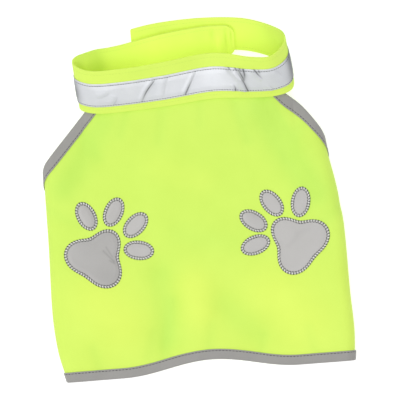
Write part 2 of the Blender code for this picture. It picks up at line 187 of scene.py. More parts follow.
def through(rows, t):
    """Values at t on a smooth curve through the rows, with t counted in rows."""
    rows = np.array(rows, float)
    t = np.asarray(t, float)
    first = np.clip(np.floor(t).astype(int), 0, len(rows) - 2)
    u = (t - first)[..., None]
    before, start, end, after = (
        rows[np.clip(first + k, 0, len(rows) - 1)] for k in (-1, 0, 1, 2)
    )
    return (
        start * (1 + 2 * u) * (1 - u) ** 2
        + (end - before) / 2 * u * (1 - u) ** 2
        + end * u * u * (3 - 2 * u)
        + (after - start) / 2 * u * u * (u - 1)
    )


def collar_section(t):
    """Middle of the collar's cloth at section t: its low edge, top edge and height."""
    x, y_low, z_low, lean, y_top, height = np.moveaxis(through(COLLAR, t), -1, 0)
    rise = np.sqrt(np.maximum(height**2 - (y_top - y_low) ** 2 - lean**2, 0.0))
    low = np.stack([x, y_low, z_low], -1)
    return low, np.stack([x + lean, y_top, z_low + rise], -1), height


def nape_edge():
    """The collar's low edge along the nape: rows of x, y, z and slope in order of x."""
    low, top, _ = collar_section(NAPE_FIRST + np.arange(43) / 6)
    slope = (top[:, 2] - low[:, 2]) / (top[:, 1] - low[:, 1])
    rows = np.column_stack([low, slope])
    return rows[np.argsort(rows[:, 0])]


NAPE = nape_edge()


def along_nape(x, value):
    return np.interp(x, NAPE[:, 0], NAPE[:, value])


def neck_z(x):
    under_collar = COLLAR_WALL / 2 + SEAM_GAP + PANEL_WALL / 2 + UNDER_COLLAR_SPARE
    at_corner = ease((np.abs(x) - CORNER_START) / CORNER_BLEND)
    below = under_collar + (BINDING_WALL + SEAM_GAP + CORNER_DROP) * at_corner
    return along_nape(x, 2) - below * np.hypot(1, along_nape(x, 3))


def side_at(y, sign):
    """Where the panel starts to turn under at this y, and the radius of the turn."""
    y, sign = np.broadcast_arrays(np.asarray(y, float), sign)
    ys = [-side.y for side in SIDES]
    _, left, left_turn, right, right_turn = np.moveaxis(
        through(SIDES, np.interp(-y, ys, range(len(ys)))), -1, 0
    )
    turn = np.where(sign < 0, left_turn, right_turn)
    return np.where(sign < 0, left, right) - turn - PANEL_WALL / 2, turn


def rise_of(folds, x, y):
    """Height that these folds add at each place."""
    total = np.zeros(np.broadcast(x, y).shape)
    for fold in folds:
        run = np.array([fold.x1 - fold.x0, fold.y1 - fold.y0], float)
        away_x, away_y = x - fold.x0, y - fold.y0
        share = np.clip((away_x * run[0] + away_y * run[1]) / (run @ run), 0, 1)
        distance = np.hypot(away_x - share * run[0], away_y - share * run[1])
        total += fold.rise * np.exp(-((distance / fold.width) ** 2))
    return total


def back_z(x, y):
    """Height of the middle of the panel's cloth where it faces up."""
    start, turn = side_at(y, x)
    middle = BACK_Z + (HEM_Z - BACK_Z) * ease((-y - HEM_FALL_START) / HEM_FALL_LENGTH)
    share = ease((np.abs(x) / start - SIDE_BLEND) / (1 - SIDE_BLEND))
    body = middle + (FLAP_Z + 2 * turn - middle) * share
    body = body + rise_of(FOLDS, x, y) * (1 - share**4)
    leaning = 1 - ease((np.abs(x) - TUCK_START) / LEAN_BLEND)
    tucked = np.maximum(y - along_nape(x, 1), 0.0) * leaning
    near_neck = ease((y + NECK_BLEND) / NECK_BLEND)
    return body + (neck_z(x) + along_nape(x, 3) * tucked - body) * near_neck


def panel_middle(s, y):
    """Middle of the panel's cloth: over the back, round the side and under the belly."""
    s, y = np.broadcast_arrays(np.asarray(s, float), np.asarray(y, float))
    sign = np.where(s < 0, -1.0, 1.0)
    start, turn = side_at(y, sign)
    past = np.abs(s) - start
    rim = back_z(sign * start, y)
    angle = np.clip(past / turn, 0, np.pi)
    x = start + turn * np.sin(angle) + np.minimum(past, 0) - np.maximum(past - np.pi * turn, 0)
    z = FLAP_Z + (rim - FLAP_Z) * (1 + np.cos(angle)) / 2
    flat_x = np.where(past < 0, s, sign * start)
    z = np.where(past < 0, back_z(flat_x, y), z)
    return np.stack([sign * x, y, z], -1)


def panel_normal(s, y):
    across = panel_middle(s + CLOTH_STEP, y) - panel_middle(s - CLOTH_STEP, y)
    along = panel_middle(s, y + CLOTH_STEP) - panel_middle(s, y - CLOTH_STEP)
    normal = np.cross(across, along)
    return normal / np.linalg.norm(normal, axis=-1, keepdims=True)


def panel_point(s, y, lift=0.0):
    """A point of the panel, or of what lies on it at this lift from its middle."""
    lift = np.asarray(lift + rise_of(CREASES, s, y))[..., None]
    return panel_middle(s, y) + panel_normal(s, y) * lift


def shoulder_y(s):
    fuller = SHOULDER_FULLNESS * bell((s - SHOULDER_FULL_S) / SHOULDER_FULL_HALF)
    return fuller - SHOULDER_SLOPE * (np.abs(s) - SHOULDER_START)


def front_y(s):
    tuck = NECK_TUCK + CORNER_TUCK * ease((np.abs(s) - TUCK_START) / TUCK_BLEND)
    return np.minimum(shoulder_y(s), along_nape(s, 1) + tuck)


def hem_y(s):
    notch = HEM_NOTCH_RISE * bell((s - HEM_NOTCH_X) / HEM_NOTCH_HALF)
    corner = FLAP_CORNER_RISE * ease((np.abs(s) - FLAP_CORNER_S) / (PANEL_HALF - FLAP_CORNER_S))
    return -BACK_LENGTH + BINDING_WALL + SEAM_GAP + notch + corner


def column_s(column, y):
    """How far across the cloth a column is at this y, counted from the spine."""
    sign = np.where(column < 0, -1.0, 1.0)
    start, turn = side_at(y, sign)
    turned = start + np.pi * turn
    past = np.abs(column) - BACK_COLUMNS
    back = start * np.abs(column) / BACK_COLUMNS
    side = start + np.pi * turn * past / TURN_COLUMNS
    flap = turned + (PANEL_HALF - turned) * (past - TURN_COLUMNS) / FLAP_COLUMNS
    return sign * np.where(past <= 0, back, np.where(past <= TURN_COLUMNS, side, flap))


def edge_at(column, edge_y):
    """Where a column meets a cut edge of the panel."""
    y = edge_y(column_s(column, -100.0))
    for _ in range(24):
        y = (y + edge_y(column_s(column, y))) / 2
    return y


def lay_cloth(name, columns, rows, place, wall, nodes, merge=False, mark=None):
    """A flat grid of cloth moved to its place, with its cut kept as a UV map in metres.

    Where the colour or glow changes over the piece, for worn places and for painted shade
    and light, mark gives the number that it reads there.
    """
    bm = bmesh.new()
    bmesh.ops.create_grid(bm, x_segments=columns, y_segments=rows, size=0.5)
    bm.verts.ensure_lookup_table()
    flat = np.array([vert.co[:2] for vert in bm.verts]) + 0.5
    points, cut = place(flat[:, 0], flat[:, 1])
    uv = bm.loops.layers.uv.new("cut")
    for face in bm.faces:
        for loop in face.loops:
            loop[uv].uv = cut[loop.vert.index] * MM
    if mark is not None:
        marked = bm.verts.layers.float.new("mark")
        for vert, value in zip(bm.verts, mark(flat[:, 0], flat[:, 1])):
            vert[marked] = value
    for vert, point in zip(bm.verts, (points + SHIFT) * MM):
        vert.co = point
    if merge:
        bmesh.ops.remove_doubles(bm, verts=bm.verts, dist=0.00002)
    return make_piece(name, bm, wall, nodes)


def make_piece(name, bm, wall, nodes):
    mesh = bpy.data.meshes.new(name)
    bm.to_mesh(mesh)
    bm.free()
    mesh.shade_smooth()
    obj = bpy.data.objects.new(name, mesh)
    bpy.context.scene.collection.objects.link(obj)
    if wall:
        thicken = obj.modifiers.new("cloth thickness", "SOLIDIFY")
        thicken.thickness = wall * MM
        thicken.offset = 0
        thicken.use_even_offset = True
    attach(obj, "root")
    if nodes:
        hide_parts(*nodes)
    return obj


def mix(nodes, links, kind, factor, first, second, blend="MIX"):
    """A Mix node, with each input a number, a colour or another node's output."""
    node = nodes.new("ShaderNodeMix")
    node.data_type = kind
    node.blend_type = blend
    place = {"FLOAT": (0, 2, 3, 0), "RGBA": (0, 6, 7, 2)}[kind]
    for index, value in zip(place, (factor, first, second)):
        if isinstance(value, bpy.types.NodeSocket):
            links.new(value, node.inputs[index])
        else:
            node.inputs[index].default_value = value
    return node.outputs[place[3]]


def maths(nodes, links, operation, *values):
    node = nodes.new("ShaderNodeMath")
    node.operation = operation
    for socket, value in zip(node.inputs, values):
        if isinstance(value, bpy.types.NodeSocket):
            links.new(value, socket)
        else:
            socket.default_value = value
    return node.outputs[0]


def noise(nodes, links, vector, scale, detail):
    node = nodes.new("ShaderNodeTexNoise")
    node.inputs["Scale"].default_value = scale
    node.inputs["Detail"].default_value = detail
    links.new(vector, node.inputs["Vector"])
    return node.outputs["Fac"]


def weave_group():
    """Plain weave: over and under threads at a pitch, with uneven yarn and soft rubbing."""
    group = bpy.data.node_groups.new("plain weave", "ShaderNodeTree")
    for name, kind in (("Vector", "Vector"), ("Threads", "Float"), ("Uneven", "Float")):
        group.interface.new_socket(name, in_out="INPUT", socket_type="NodeSocket" + kind)
    for name in ("Height", "Tone"):
        group.interface.new_socket(name, in_out="OUTPUT", socket_type="NodeSocketFloat")
    nodes, links = group.nodes, group.links
    given = nodes.new("NodeGroupInput")
    result = nodes.new("NodeGroupOutput")
    split = nodes.new("ShaderNodeSeparateXYZ")
    links.new(given.outputs["Vector"], split.inputs[0])
    waves = []
    for axis in (0, 1):
        turns = maths(nodes, links, "MULTIPLY", split.outputs[axis], given.outputs["Threads"])
        turns = maths(nodes, links, "MULTIPLY", turns, math.pi)
        waves.append(maths(nodes, links, "SINE", turns))
    crossing = maths(nodes, links, "MULTIPLY", waves[0], waves[1])
    yarn = noise(nodes, links, given.outputs["Vector"], 900, 2)
    soft = noise(nodes, links, given.outputs["Vector"], 26, 3)
    uneven = maths(nodes, links, "MULTIPLY", yarn, given.outputs["Uneven"])
    height = maths(nodes, links, "ADD", maths(nodes, links, "MULTIPLY", crossing, 0.5), uneven)
    links.new(height, result.inputs["Height"])
    links.new(mix(nodes, links, "FLOAT", 0.35, soft, yarn), result.inputs["Tone"])
    return group


WEAVE = weave_group()


def woven(name, dark, light, threads, depth, roughness, sheen=0.0):
    """Woven cloth on its cut: two close tones, a thread bump and a soft sheen."""
    material = bpy.data.materials.new(name)
    material.use_nodes = True
    nodes, links = material.node_tree.nodes, material.node_tree.links
    shader = nodes["Principled BSDF"]
    cut = nodes.new("ShaderNodeUVMap")
    cut.uv_map = "cut"
    weave = nodes.new("ShaderNodeGroup")
    weave.node_tree = WEAVE
    weave.inputs["Threads"].default_value = threads
    weave.inputs["Uneven"].default_value = 0.4
    links.new(cut.outputs["UV"], weave.inputs["Vector"])
    tone = mix(nodes, links, "RGBA", weave.outputs["Tone"], (*dark, 1), (*light, 1))
    links.new(tone, shader.inputs["Base Color"])
    bump = nodes.new("ShaderNodeBump")
    bump.inputs["Strength"].default_value = 0.5
    bump.inputs["Distance"].default_value = depth * MM
    links.new(weave.outputs["Height"], bump.inputs["Height"])
    links.new(bump.outputs["Normal"], shader.inputs["Normal"])
    shader.inputs["Roughness"].default_value = roughness
    shader.inputs["Sheen Weight"].default_value = sheen
    shader.inputs["Sheen Roughness"].default_value = 0.4
    return material


def painted_glow_cloth(name, painted_ridge_light, painted_hollow_shade, strength):
    """The yellow cloth, with painted light: it glows a little in its own colour.

    The glow is painted light on ridges, marked -1, and painted shade in hollows, marked 1.
    """
    material = woven(name, (0.41, 0.585, 0.08), (0.51, 0.685, 0.12), 2200, 0.12, 0.78, 0.1)
    nodes, links = material.node_tree.nodes, material.node_tree.links
    shader = nodes["Principled BSDF"]
    # The mark sets the glow: painted light on ridges, painted shade in hollows
    hollow = nodes.new("ShaderNodeAttribute")
    hollow.attribute_name = "mark"
    share = maths(nodes, links, "MULTIPLY_ADD", hollow.outputs["Fac"], 0.5, 0.5)
    glow = mix(nodes, links, "RGBA", share, (*painted_ridge_light, 1), (*painted_hollow_shade, 1))
    links.new(glow, shader.inputs["Emission Color"])
    shader.inputs["Emission Strength"].default_value = strength
    return material


def panel_cut(u, v):
    column = (u - 0.5) * 2 * LAST_COLUMN
    hem, front = edge_at(column, hem_y), edge_at(column, front_y)
    y = hem + (front - hem) * v
    return column_s(column, y), y


def place_panel(u, v):
    s, y = panel_cut(u, v)
    return panel_point(s, y), np.column_stack([s, y])


# How far folds, creases and the rump lower or raise the glow, as painted shade and light
BROAD_FOLD = 35
RUMP_START = 130.0
RUMP_BLEND = 60.0
RUMP_PAINTED_LIGHT = 0.35
FOLD_PAINTED_SHADE = 0.2
CREASE_PAINTED_SHADE = 0.5


def panel_painted_shade(u, v):
    """Painted shade in the hollows of folds and creases, painted light on ridges and the rump."""
    s, y = panel_cut(u, v)
    narrow = [fold for fold in FOLDS if fold.width < BROAD_FOLD]
    rump = ease((-y - RUMP_START) / RUMP_BLEND)
    hollow = 0.1 - RUMP_PAINTED_LIGHT * rump
    hollow = hollow - FOLD_PAINTED_SHADE * rise_of(narrow, s, y) - CREASE_PAINTED_SHADE * rise_of(CREASES, s, y)
    return np.clip(hollow, -1, 1)


# The yellow cloth glows as painted light, with painted shade in its hollows
yellow = painted_glow_cloth("yellow cloth with painted glow", (0.96, 1.0, 0.08), (0.28, 0.70, 0.03), 0.25)
panel = lay_cloth(
    "back_panel_cloth", 240, 140, place_panel, PANEL_WALL, ["back_panel"],
    mark=panel_painted_shade,
)
panel.data.materials.append(yellow)
cut_s = np.linspace(-PANEL_HALF, PANEL_HALF, 913)
cut_front, cut_hem = front_y(cut_s), hem_y(cut_s)


# The collar
# A stiffened double band of the same yellow cloth, topstitched along both edges. It is
# closed into a ring by its two lapped ends at the throat: a rounded one inside, a square
# one outside, held by hook-and-loop. Its low edge covers the neckline of the panel.

TAB_CORNER = 10.0
SQUARE_CORNER = 2.0
SECTION_STEP = 0.02
EDGE_STITCH = 4.0
END_CLOSENESS = 0.92

# Soft dents of the stiff band, at a section and a height, with their half sizes
Dent = namedtuple("Dent", "section up wide tall depth")
DENTS = [
    Dent(section=0.16, up=24, wide=0.06, tall=8, depth=1.7),
    Dent(section=0.38, up=21, wide=0.07, tall=12, depth=1.9),
    Dent(section=0.62, up=15, wide=0.08, tall=9, depth=-1.5),
    Dent(section=0.80, up=27, wide=0.07, tall=7, depth=1.4),
    Dent(section=1.1, up=28, wide=0.20, tall=10, depth=0.7),
    Dent(section=2.2, up=20, wide=0.35, tall=22, depth=-0.8),
    Dent(section=3.7, up=24, wide=0.22, tall=26, depth=1.4),
    Dent(section=4.3, up=30, wide=0.18, tall=14, depth=-0.9),
    Dent(section=8.4, up=44, wide=0.30, tall=9, depth=0.6),
    Dent(section=10.6, up=45, wide=0.25, tall=8, depth=-0.5),
    Dent(section=15.2, up=30, wide=0.30, tall=12, depth=0.9),
    Dent(section=16.4, up=16, wide=0.40, tall=14, depth=-0.7),
    Dent(section=17.8, up=24, wide=0.35, tall=16, depth=0.6),
]


def collar_middle(t, up):
    low, top, height = collar_section(t)
    return low + (top - low) * (np.asarray(up) / height)[..., None]


def collar_normal(t):
    low, top, _ = collar_section(t)
    ahead, behind = collar_section(t + SECTION_STEP), collar_section(t - SECTION_STEP)
    normal = np.cross(ahead[0] + ahead[1] - behind[0] - behind[1], top - low)
    return normal / np.linalg.norm(normal, axis=-1, keepdims=True)


def dented(t, up):
    lift = np.zeros(t.shape)
    for dent in DENTS:
        across, tall = (t - dent.section) / dent.wide, (up - dent.up) / dent.tall
        lift += dent.depth * np.exp(-(across**2 + tall**2))
    return lift


def collar_point(t, up, lift=0.0):
    """A point of the collar at section t, up millimetres above its low edge."""
    t, up = np.broadcast_arrays(np.asarray(t, float), np.asarray(up, float))
    lift = np.asarray(lift + dented(t, up))[..., None]
    return collar_middle(t, up) + collar_normal(t) * lift


fine_t = np.linspace(0, LAST_SECTION, 1200)
fine_middle = collar_middle(fine_t, 20 + 0 * fine_t)
fine_gone = np.concatenate([[0], np.cumsum(np.linalg.norm(np.diff(fine_middle, axis=0), axis=1))])
COLLAR_LENGTH = float(fine_gone[-1])


def corner_trim(distance, radius):
    return radius - np.sqrt(np.maximum(radius**2 - np.maximum(radius - distance, 0) ** 2, 0))


def place_collar(u, v):
    """The columns of the cloth lie closer together at its two shaped ends."""
    gone = COLLAR_LENGTH * (u - END_CLOSENESS * np.sin(2 * np.pi * u) / (2 * np.pi))
    t = np.interp(gone, fine_gone, fine_t)
    height = collar_section(t)[2]
    trim = corner_trim(gone, TAB_CORNER) + corner_trim(COLLAR_LENGTH - gone, SQUARE_CORNER)
    up = trim + (height - 2 * trim) * v
    return collar_point(t, up), np.column_stack([gone, up])


def round_edges(obj, width, segments=3):
    bevel = obj.modifiers.new("turned edge", "BEVEL")
    bevel.width = width * MM
    bevel.segments = segments
    bevel.limit_method = "ANGLE"
    bevel.angle_limit = math.radians(60)


# Inside the bends at both ends of the ring the glow is lowered, as painted shade
Bend = namedtuple("Bend", "section wide hollow")
BENDS = [
    Bend(section=4.4, wide=1.1, hollow=1.6),
    Bend(section=14.4, wide=1.0, hollow=1.5),
]


def collar_painted_shade(u, v):
    gone, up = place_collar(u, v)[1].T
    t = np.interp(gone, fine_gone, fine_t)
    bends = sum(bend.hollow * np.exp(-(((t - bend.section) / bend.wide) ** 2)) for bend in BENDS)
    # Painted shade in the bends and dents, painted light on the rest of the band
    return np.clip(bends - 0.6 + 0.4 * dented(t, up), -1, 1)


collar = lay_cloth(
    "collar_band", 320, 22, place_collar, COLLAR_WALL, ["collar"],
    mark=collar_painted_shade,
)
round_edges(collar, 0.6)
collar.data.materials.append(yellow)
# The inside face glows more than the outside, as painted light
collar.data.materials.append(
    painted_glow_cloth("collar lining with painted glow", (0.97, 1.0, 0.12), (0.25, 0.27, 0.0), 0.35)
)
collar.modifiers["cloth thickness"].material_offset = 1


def sew(name, starts, ends, normals, width, tall, material):
    """Stitches that lie on the cloth, each a small rounded length of thread."""
    bit = bpy.data.meshes.new("thread")
    bead = bmesh.new()
    bmesh.ops.create_uvsphere(bead, u_segments=6, v_segments=4, radius=0.5)
    bead.to_mesh(bit)
    bead.free()
    bm = bmesh.new()
    for start, end, normal in zip(starts, ends, normals):
        run = Vector(end) - Vector(start)
        along = run.normalized()
        beside = Vector(normal).cross(along).normalized()
        middle = Vector((Vector(start) + Vector(end)) / 2) + Vector(SHIFT)
        turn = Matrix((along, beside, along.cross(beside))).transposed().to_4x4()
        size = Matrix.Diagonal((run.length + width, width, width * tall, 1))
        before = len(bm.verts)
        bm.from_mesh(bit)
        bm.verts.ensure_lookup_table()
        place = Matrix.Scale(MM, 4) @ Matrix.Translation(middle) @ turn @ size
        bmesh.ops.transform(bm, matrix=place, verts=bm.verts[before:])
    bpy.data.meshes.remove(bit)
    threads = make_piece(name, bm, 0, [])
    threads.data.materials.append(material)
    return threads


def thread_line(name, points, normals, pitch, length, width, tall, material):
    """A row of stitches along a line of points."""
    gone = np.concatenate([[0], np.cumsum(np.linalg.norm(np.diff(points, axis=0), axis=1))])
    count = int(gone[-1] / pitch)
    middles = (np.arange(count) + 0.5) * gone[-1] / count

    def along(at, values):
        return np.stack([np.interp(at, gone, values[:, k]) for k in range(3)], -1)

    starts, ends = along(middles - length / 2, points), along(middles + length / 2, points)
    return sew(name, starts, ends, along(middles, normals), width, tall, material)


def fibre_group():
    """Spun fibres of a thread, as a tone that changes over a few hundredths of a millimetre."""
    group = bpy.data.node_groups.new("spun fibres", "ShaderNodeTree")
    group.interface.new_socket("Vector", in_out="INPUT", socket_type="NodeSocketVector")
    group.interface.new_socket("Tone", in_out="OUTPUT", socket_type="NodeSocketFloat")
    given = group.nodes.new("NodeGroupInput")
    result = group.nodes.new("NodeGroupOutput")
    fibres = noise(group.nodes, group.links, given.outputs["Vector"], 2500, 2)
    group.links.new(fibres, result.inputs["Tone"])
    return group


FIBRES = fibre_group()


def thread_material(name, colour):
    """Spun polyester thread: a plain tone with fine fibres that show close up."""
    material = bpy.data.materials.new(name)
    material.use_nodes = True
    nodes, links = material.node_tree.nodes, material.node_tree.links
    shader = nodes["Principled BSDF"]
    place = nodes.new("ShaderNodeTexCoord")
    fibres = nodes.new("ShaderNodeGroup")
    fibres.node_tree = FIBRES
    links.new(place.outputs["Object"], fibres.inputs["Vector"])
    darker = tuple(0.75 * c for c in colour)
    tone = mix(nodes, links, "RGBA", fibres.outputs["Tone"], (*darker, 1), (*colour, 1))
    links.new(tone, shader.inputs["Base Color"])
    shader.inputs["Roughness"].default_value = 0.6
    return material


yellow_thread = thread_material("yellow thread", (0.46, 0.65, 0.10))
# Painted light: the yellow thread glows a little, like the cloth
glowing_thread_face = yellow_thread.node_tree.nodes["Principled BSDF"]
glowing_thread_face.inputs["Emission Color"].default_value = (0.70, 0.97, 0.06, 1)
glowing_thread_face.inputs["Emission Strength"].default_value = 0.2
edge_t = np.interp(np.linspace(6, COLLAR_LENGTH - 4, 900), fine_gone, fine_t)
edge_height = collar_section(edge_t)[2]
for side, name in ((1, "outside"), (-1, "inside")):
    for up, where in ((EDGE_STITCH + 0 * edge_t, "low"), (edge_height - EDGE_STITCH, "top")):
        line = collar_point(edge_t, up, side * (COLLAR_WALL / 2 + 0.02))
        thread_line(
            f"collar_stitches_{name}_{where}", line, side * collar_normal(edge_t),
            pitch=3.2, length=2.2, width=0.35, tall=0.4,
            material=yellow_thread,
        )
collar_heights = collar_section(fine_t)[2]


# The reflective tape
# A 25 mm retro-reflective silver tape on the outside of the nape, sewn down with grey
# thread near both edges. It goes round both turns of the collar, and it has buckled into
# a few sharp creases where the collar was bent.

TAPE_LOW = 7.5
TAPE_WIDTH = 25.5
TAPE_FIRST = 4
TAPE_LAST = 15
TAPE_WALL = 0.5
TAPE_LIFT = COLLAR_WALL / 2 + 0.15 + TAPE_WALL / 2
STITCH_LOW = 1.3
STITCH_TOP = TAPE_WIDTH - 2.5
CREASE_STEPS = 40

# Each crease runs through three places, x along the nape and v up the tape. Its colour is
# darkened as painted shade, with a thin broken line of the silver coat, darkest at a share of
# its way along
Crease = namedtuple("Crease", "x0 v0 x1 v1 x2 v2 width depth dark at")
TAPE_CREASES = [
    Crease(-29.5, 0.88, -39.0, 0.44, -44.3, 0.0, 1.5, 0.45, 0.9, 0.4),
    Crease(12.0, 0.88, 5.5, 0.46, -0.6, 0.04, 1.4, 0.4, 0.9, 0.8),
    Crease(47.6, 1.06, 57.8, 0.52, 63.3, -0.05, 2.0, 1.0, 1.0, 0.8),
    Crease(59.0, 1.04, 60.6, 0.70, 59.4, 0.40, 1.6, 0.8, 1.0, 0.2),
    Crease(53.5, 1.00, 57.6, 0.72, 60.0, 0.45, 3.0, -0.5, 0.8, 0.5),
    Crease(43.2, 1.06, 45.4, 0.97, 47.3, 0.87, 1.1, 0.4, 0.9, 0.5),
    Crease(50.6, 1.04, 52.2, 0.95, 54.0, 0.84, 1.1, 0.4, 0.9, 0.3),
    Crease(54.8, 1.06, 56.0, 0.98, 57.0, 0.90, 1.0, 0.3, 0.8, 0.4),
    Crease(69.8, 1.03, 73.5, 0.82, 79.0, 0.56, 1.4, 0.6, 1.0, 0.35),
    Crease(74.6, 0.98, 75.7, 0.90, 76.8, 0.82, 1.0, 0.3, 0.7, 0.4),
    Crease(48.4, 0.32, 50.4, 0.14, 50.3, -0.04, 1.2, 0.3, 0.8, 0.7),
    Crease(-15.8, 0.92, -19.5, 0.50, -21.9, 0.10, 2.4, 0.3, 0.07, 0.6),
    Crease(-67.0, 0.40, -69.5, 0.20, -72.5, 0.02, 2.4, 0.3, 0.2, 0.6),
    Crease(-74.0, 0.56, -80.0, 0.44, -87.0, 0.36, 2.2, 0.3, 0.08, 0.5),
    Crease(92.0, 0.90, 96.0, 0.70, 98.0, 0.50, 1.6, 0.3, 0.10, 0.5),
    Crease(84.0, 0.30, 87.0, 0.12, 88.0, -0.02, 1.2, 0.3, 0.15, 0.6),
]

# Where the tape turns away round both ends of the collar its colour is darkened, as painted shade
TurnShade = namedtuple("TurnShade", "section wide v tall dark")
TAPE_TURN_SHADES = [
    TurnShade(section=5.8, wide=0.42, v=0.45, tall=0.6, dark=0.9),
    TurnShade(section=13.5, wide=0.62, v=0.5, tall=3.0, dark=0.92),
]


def crease_lines(t, up):
    """Each crease: its strength at each place, how far beside it and how far along."""
    x = collar_section(t)[0][..., 0]
    place = np.stack(np.broadcast_arrays(x, up - TAPE_LOW), -1)[..., None, :]
    on_nape = (t > NAPE_FIRST) & (t < NAPE_LAST)
    for crease in TAPE_CREASES:
        corners = [(crease.x0, crease.v0), (crease.x1, crease.v1), (crease.x2, crease.v2)]
        line = through(corners, np.linspace(0, 2, CREASE_STEPS + 1)) * (1, TAPE_WIDTH)
        run = np.gradient(line, axis=0)
        run /= np.linalg.norm(run, axis=1, keepdims=True)
        away = place - line
        nearest = np.argmin(np.linalg.norm(away, axis=-1), axis=-1)
        off = np.take_along_axis(away, nearest[..., None, None], axis=-2)[..., 0, :]
        side = off[..., 0] * run[nearest, 1] - off[..., 1] * run[nearest, 0]
        past = off[..., 0] * run[nearest, 0] + off[..., 1] * run[nearest, 1]
        share = nearest / CREASE_STEPS
        strength = bell(np.maximum(np.abs(share - 0.5) - 0.36, 0) / 0.22)
        strength = strength * np.exp(-((past / crease.width) ** 2)) * on_nape
        yield crease, strength, side, share


def tape_lift(t, up):
    """How far the tape stands off where it is sewn down, puffed or creased."""
    x = collar_section(t)[0][..., 0]
    above, below = up - TAPE_LOW - STITCH_LOW, TAPE_LOW + STITCH_TOP - up
    lift = TAPE_LIFT + 0.4 * ease(np.minimum(above, below) / 5)
    wave = 0.12 * np.sin(x / 3.1) * np.sin(x / 7.7 + 1)
    lift = lift + (wave + 0.08) * ease(1 - np.abs(np.minimum(above, below)) / 6)
    lift = lift - 0.12 * (np.exp(-((above / 0.8) ** 2)) + np.exp(-((below / 0.8) ** 2)))
    for crease, strength, side, _ in crease_lines(t, up):
        ridge = np.exp(-((side / crease.width - 1.6) ** 2) / 2.2)
        valley = np.exp(-((side / crease.width / 0.5) ** 2))
        valley = 0.45 * math.tanh(max(crease.depth, 0)) * valley
        lift = lift + strength * (crease.depth * ridge - valley)
    return np.maximum(lift, TAPE_LIFT - 0.08)


def tape_shade_and_wear(u, v):
    """How dark the tape is painted: shade and broken coat in creases, shade at the turns."""
    t, up = TAPE_FIRST + (TAPE_LAST - TAPE_FIRST) * u, TAPE_LOW + TAPE_WIDTH * v
    wear_and_shade = np.zeros(t.shape)
    for crease, strength, side, share in crease_lines(t, up):
        # Painted shade beside each crease, with a thin line of broken coat along it
        crack_and_shade = np.exp(-((side / 0.55) ** 2)) + 0.3 * np.exp(-((side / crease.width / 1.4) ** 2))
        wear_and_shade += crease.dark * strength * crack_and_shade * np.exp(-(((share - crease.at) / 0.4) ** 2))
    # Painted shade where the tape turns away at both ends of the collar
    for turn_shade in TAPE_TURN_SHADES:
        across = (v - turn_shade.v) / turn_shade.tall
        wear_and_shade += turn_shade.dark * np.exp(-(((t - turn_shade.section) / turn_shade.wide) ** 2) - across**2)
    return np.clip(wear_and_shade, 0, 1)


def place_tape(u, v):
    t = TAPE_FIRST + (TAPE_LAST - TAPE_FIRST) * u
    up = TAPE_LOW + TAPE_WIDTH * v
    gone = np.interp(t, fine_t, fine_gone)
    return collar_point(t, up, tape_lift(t, up)), np.column_stack([gone, up])


def bead_group():
    """The face of glass-bead cloth: fine beads, and faint clouds where it is thinner."""
    group = bpy.data.node_groups.new("glass beads", "ShaderNodeTree")
    group.interface.new_socket("Vector", in_out="INPUT", socket_type="NodeSocketVector")
    for name in ("Beads", "Tone"):
        group.interface.new_socket(name, in_out="OUTPUT", socket_type="NodeSocketFloat")
    nodes, links = group.nodes, group.links
    given = nodes.new("NodeGroupInput")
    result = nodes.new("NodeGroupOutput")
    beads = noise(nodes, links, given.outputs["Vector"], 3000, 2)
    clouds = noise(nodes, links, given.outputs["Vector"], 45, 3)
    links.new(beads, result.inputs["Beads"])
    links.new(mix(nodes, links, "FLOAT", 0.3, clouds, beads), result.inputs["Tone"])
    return group


BEADS = bead_group()


def reflective(name, dark, light, worn_and_shaded, roughness, metallic):
    """Glass-bead cloth: a smooth grey face, darker by the mark, for worn coat and painted shade.
    """
    material = bpy.data.materials.new(name)
    material.use_nodes = True
    nodes, links = material.node_tree.nodes, material.node_tree.links
    shader = nodes["Principled BSDF"]
    cut = nodes.new("ShaderNodeUVMap")
    cut.uv_map = "cut"
    beads = nodes.new("ShaderNodeGroup")
    beads.node_tree = BEADS
    links.new(cut.outputs["UV"], beads.inputs["Vector"])
    colour = mix(nodes, links, "RGBA", beads.outputs["Tone"], (*dark, 1), (*light, 1))
    wear_and_shade = nodes.new("ShaderNodeAttribute")
    wear_and_shade.attribute_name = "mark"
    colour = mix(nodes, links, "RGBA", wear_and_shade.outputs["Fac"], colour, (*worn_and_shaded, 1))
    links.new(colour, shader.inputs["Base Color"])
    bump = nodes.new("ShaderNodeBump")
    bump.inputs["Strength"].default_value = 0.25
    bump.inputs["Distance"].default_value = 0.03 * MM
    links.new(beads.outputs["Beads"], bump.inputs["Height"])
    links.new(bump.outputs["Normal"], shader.inputs["Normal"])
    shader.inputs["Roughness"].default_value = roughness
    shader.inputs["Metallic"].default_value = metallic
    return material


silver = reflective(
    "silver tape", (0.55, 0.57, 0.60), (0.74, 0.75, 0.78), (0.12, 0.125, 0.13), 0.45, 0.2
)
tape = lay_cloth(
    "collar_tape_cloth", 640, 40, place_tape, TAPE_WALL, ["collar_tape"],
    mark=tape_shade_and_wear,
)
tape.data.materials.append(silver)
grey_thread = thread_material("grey thread", (0.08, 0.085, 0.095))
seam_t = np.linspace(TAPE_FIRST + 0.05, TAPE_LAST - 0.05, 1500)
for across, where in ((STITCH_LOW, "low"), (STITCH_TOP, "top")):
    up = TAPE_LOW + across
    line = collar_point(seam_t, up, tape_lift(seam_t, up) + TAPE_WALL / 2)
    thread_line(
        f"tape_stitches_{where}", line, collar_normal(seam_t),
        pitch=2.6, length=1.9, width=0.75, tall=0.5,
        material=grey_thread,
    )


# The bindings
# Grey woven binding, folded in half over the cut edges of the panel and sewn through
# with one row of grey thread near its inner edge: both shoulders and the hem.

